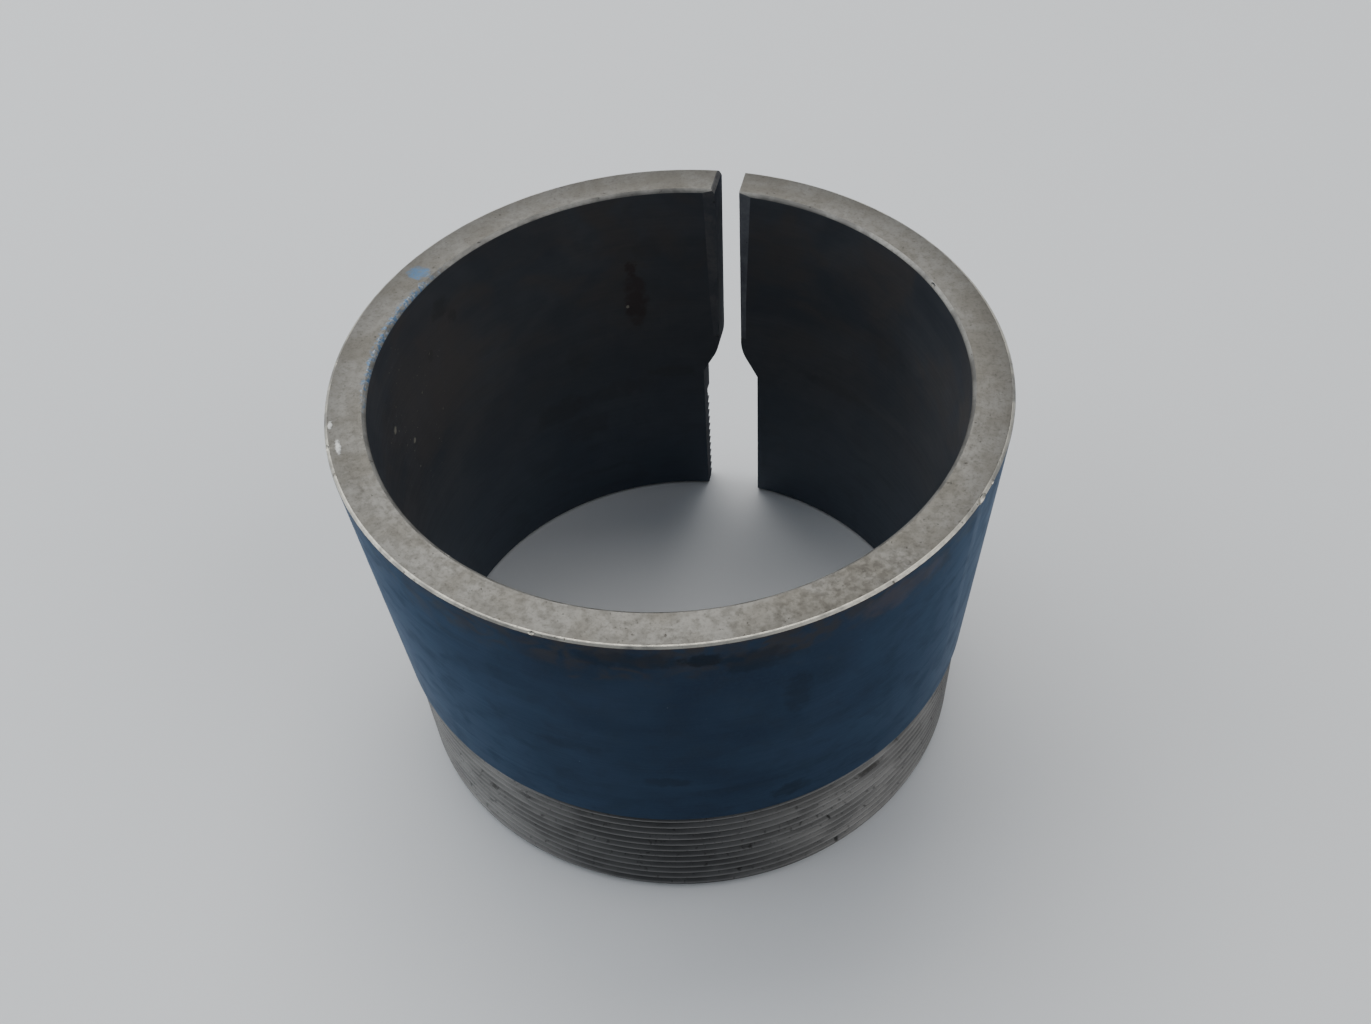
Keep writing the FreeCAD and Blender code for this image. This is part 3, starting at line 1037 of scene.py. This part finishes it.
@dataclass
class AdapterSleeve:
    """The whole sleeve: one turned, threaded and slotted piece of steel."""

    bore: float = mount("bore")["dims"]["r_mm"] * MM
    length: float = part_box(NODE)[1][2]
    large_end: float = 57.8 * MM
    taper: float = 12.0
    shoulder: float = 27.5 * MM
    rim: float = 0.5 * MM
    bore_rim: float = 0.5 * MM
    bore_foot: float = 0.8 * MM
    lead_in: float = 1.2 * MM
    neck_gap: float = 0.1 * MM
    softening: float = 0.12 * MM
    columns: int = 360
    smooth_below: float = math.radians(24)
    thread: ThreadForm = field(default_factory=ThreadForm)
    slot: SlotForm = field(default_factory=SlotForm)
    nicks: tuple[Nick, ...] = (
        Nick(angle=-19.6, radius=57.85, height=80.95, long=1.6, deep=0.85),
        Nick(angle=-15.6, radius=57.8, height=80.95, long=0.8, deep=0.55),
        Nick(angle=-152.0, radius=57.8, height=80.95, long=1.2, deep=0.60),
        Nick(angle=-97.0, radius=57.8, height=81.0, long=0.9, deep=0.50),
        Nick(angle=36.0, radius=50.8, height=81.0, long=1.0, deep=0.55, lean=-45),
        Nick(angle=-118.0, radius=50.8, height=81.0, long=1.2, deep=0.55, lean=-45),
        Nick(angle=-38.0, radius=54.95, height=20.8, long=1.6, deep=0.45, lean=0),
    )

    def seat(self, height: float) -> float:
        """Radius of the tapered seat at a height."""
        return self.large_end - (self.length - height) / (2 * self.taper)

    def section(self) -> list[Point]:
        """The turned section, from the neck's foot over the top and down the bore.

        Returns:
            Its corners, rounded a little where they are worn.
        """
        neck = self.thread.root - self.neck_gap
        top, rim, inner, soft = self.length, self.rim, self.bore_rim, self.softening
        points = [
            (neck, self.thread.top),
            (neck, self.shoulder),
            (self.seat(self.shoulder) - soft, self.shoulder),
            (self.seat(self.shoulder + soft), self.shoulder + soft),
            (self.seat(top - rim - soft), top - rim - soft),
            (self.seat(top) - 0.15 * rim, top - 0.75 * rim),
            (self.seat(top) - 0.75 * rim, top - 0.15 * rim),
            (self.seat(top) - rim - soft, top),
            (self.bore + inner + soft, top),
            (self.bore + 0.6 * inner, top - 0.4 * inner),
            (self.bore + 0.2 * inner, top - 0.8 * inner),
            (self.bore, top - inner - soft),
            (self.bore, self.bore_foot),
            (self.bore + self.bore_foot, 0),
        ]
        return [(radius, 0, height) for radius, height in points]

    def build(self) -> bpy.types.Object:
        """Model the sleeve and dress it.

        Returns:
            The finished piece, at the origin, with its place in its mesh.
        """
        body = trace("sleeve", self.section())
        spin(body, self.columns)
        thread = self.thread.build(self.columns)
        only(body)
        thread.select_set(True)
        bpy.ops.object.join()
        self.close_ends(body)
        face_outwards(body)
        cut(body, self.lead_in_cutter())
        cut(body, self.slot.cutter(self.bore, self.large_end, self.length))
        cut(body, self.slot.land_cutter(self.bore, self.length))
        cut(body, self.slot.lip_cutter(self.bore, self.large_end, self.length))
        cut(body, self.nick_cutters())
        face_outwards(body)
        only(body)
        bpy.ops.object.shade_smooth_by_angle(angle=self.smooth_below)
        self.dress(body)
        return body

    def close_ends(self, body: bpy.types.Object) -> None:
        """Fill the flat rings from the thread to the neck and to the bore's foot."""
        for height in (self.thread.top, 0.0):
            with Edit(body, Element.EDGE) as edit:
                loose = open_edges(body.data)
                level = [abs(v.co.z - height) < SLIVER for v in body.data.vertices]
                edit.pick(
                    lambda edge: tuple(sorted(edge.vertices)) in loose
                    and all(level[v] for v in edge.vertices)
                )
                bpy.ops.mesh.fill(use_beauty=True)

    def lead_in_cutter(self) -> bpy.types.Object:
        """A ring that chamfers the first thread at 45 degrees."""
        foot, out = self.thread.crest - self.lead_in, self.thread.crest + self.lead_in
        spare = 0.5 * MM
        loop = [(foot - spare, 0, -spare), (out, 0, -spare), (out, 0, out - foot)]
        piece = trace("lead_in_work", loop + loop[:1])
        spin(piece, self.columns)
        return piece

    def nick_cutters(self) -> bpy.types.Object:
        """All the nicks' blocks in one mesh."""
        blocks = [nick.cutter() for nick in self.nicks]
        only(blocks[0])
        for block in blocks:
            block.select_set(True)
        bpy.ops.object.join()
        return blocks[0]

    def zone(self, face: bpy.types.MeshPolygon) -> Zone:
        """Tell which zone a face belongs to, by its place and its normal.

        Args:
            face: A face of the finished mesh.

        Returns:
            Its zone.
        """
        middle, normal = face.center, face.normal
        radius, near = reach(middle), middle.y > 0 and abs(middle.x) < self.slot.wide + 0.05 * MM
        outward = (normal.x * middle.x + normal.y * middle.y) / radius
        lip = near and middle.x < 0 and abs(middle.x) < self.slot.narrow + self.slot.lip_across
        if near and abs(normal.x) > 0.9:
            return Zone.SLOT_WALL
        if lip and middle.z > self.length - 1.3 * MM and normal.x > 0.3 and normal.z > 0.15:
            return Zone.LIP
        # Flats along the split: the right one takes the painted-light copy, the left one the
        # painted-shade copy.
        if near and 0.13 < abs(normal.x) < 0.4 and normal.y < -0.9 and abs(normal.z) < 0.1:
            return Zone.RIGHT_LAND if middle.x > 0 else Zone.LEFT_LAND
        if near and abs(normal.x) > 0.5 and abs(middle.x) < self.slot.wide:
            return Zone.SLOT_WALL
        if abs(normal.z) > 0.995:
            return Zone.END_FACE if middle.z > self.shoulder else Zone.THREAD
        if middle.z > self.length - 1.2 * MM and abs(outward) < 0.93:
            return Zone.OUTER_RIM if radius > self.bore + 3 * MM else Zone.INNER_RIM
        if radius < self.bore + self.bore_foot and middle.z < self.length:
            return Zone.INNER_RIM if outward > -0.9 else Zone.BORE
        return Zone.SEAT if middle.z > self.shoulder else Zone.THREAD

    def dress(self, body: bpy.types.Object) -> None:
        """Give each zone its finish."""
        order = list(Zone)
        for zone in order:
            body.data.materials.append(zone.value.build())
        for face in body.data.polygons:
            face.material_index = order.index(self.zone(face))


# -------------------------------------------------------------------- studio


@dataclass(frozen=True)
class SoftBox:
    """A square lamp that faces the sleeve."""

    name: str
    place: Point
    size: float
    power: float
    colour: Colour = (1, 1, 1)

    def build(self) -> None:
        """Hang the lamp."""
        data = bpy.data.lights.new(self.name, "AREA")
        data.size, data.energy, data.color = self.size, self.power, self.colour
        lamp = bpy.data.objects.new(self.name, data)
        bpy.context.scene.collection.objects.link(lamp)
        lamp.location = self.place
        aim = Vector((0, 0, 0.05)) - Vector(self.place)
        lamp.rotation_euler = aim.to_track_quat("-Z", "Y").to_euler()


@dataclass
class Studio:
    """Plain pale floor, soft lights and the camera."""

    lens: float = 36.146
    sensor: float = 36.0
    shift: tuple[float, float] = (0.0102, 0.0879)
    eye_mm: Point = (47.835, -168.483, 238.954)
    right: Point = (0.97349373, 0.22281067, -0.05162717)
    up: Point = (-0.14738779, 0.78375584, 0.60332713)
    floor_size: float = 6.0
    floor_colour: Colour = (0.80, 0.81, 0.82)
    sky: Colour = (0.80, 0.88, 1.0)
    sky_strength: float = 0.30
    lamps: tuple[SoftBox, ...] = (
        SoftBox("window_left", (-1.05, -0.05, 0.80), 1.3, 9.5, (0.95, 0.98, 1.0)),
        SoftBox("window_back", (-0.24, 0.72, 1.30), 1.2, 14.0, (1.0, 0.99, 0.96)),
        SoftBox("window_right", (1.05, -0.05, 0.85), 1.2, 6.0, (1.0, 0.99, 0.97)),
    )

    def build(self) -> None:
        """Set up the floor, the lamps, the sky and the camera."""
        self.lay_floor()
        for lamp in self.lamps:
            lamp.build()
        self.light_sky()
        self.place_camera()

    def lay_floor(self) -> None:
        """A wide pale floor that the sleeve stands on."""
        bpy.ops.object.select_all(action="DESELECT")
        bpy.ops.mesh.primitive_plane_add(size=self.floor_size, location=(0, 0, 0))
        floor = bpy.context.active_object
        floor.name = "floor"
        r = Recipe("pale_floor")
        grain = r.solid_noise(40, 3)
        pale = r.mix(r.math("MULTIPLY", grain, 0.08), self.floor_colour, (0.6, 0.61, 0.62))
        floor.data.materials.append(r.finish(pale, 0.8, []))

    def light_sky(self) -> None:
        """A dim even sky."""
        world = bpy.data.worlds.new("sky")
        bpy.context.scene.world = world
        world.use_nodes = True
        background = world.node_tree.nodes["Background"]
        background.inputs["Color"].default_value = (*self.sky, 1)
        background.inputs["Strength"].default_value = self.sky_strength

    def place_camera(self) -> None:
        """Look down into the bore from the front, with the slot at the back."""
        data = bpy.data.cameras.new("camera")
        data.sensor_width, data.lens = self.sensor, self.lens
        data.shift_x, data.shift_y = self.shift
        data.clip_start, data.clip_end = 0.01, 20
        camera = bpy.data.objects.new("camera", data)
        bpy.context.scene.collection.objects.link(camera)
        right, up = Vector(self.right), Vector(self.up)
        turn = Matrix((right, up, right.cross(up))).transposed().to_4x4()
        camera.matrix_world = Matrix.Translation(Vector(self.eye_mm) * MM) @ turn
        bpy.context.scene.camera = camera


def main() -> None:
    """Set up the studio, build the sleeve and report it."""
    logging.basicConfig(level=logging.INFO, format="%(name)s: %(message)s")
    Studio().build()
    sleeve = AdapterSleeve().build()
    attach(sleeve, "root")
    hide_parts(NODE)
    triangles = sum(len(face.vertices) - 2 for face in sleeve.data.polygons)
    log.info("%s: %d triangles, %d finishes", sleeve.name, triangles, len(Zone))


if __name__ == "__main__":
    main()
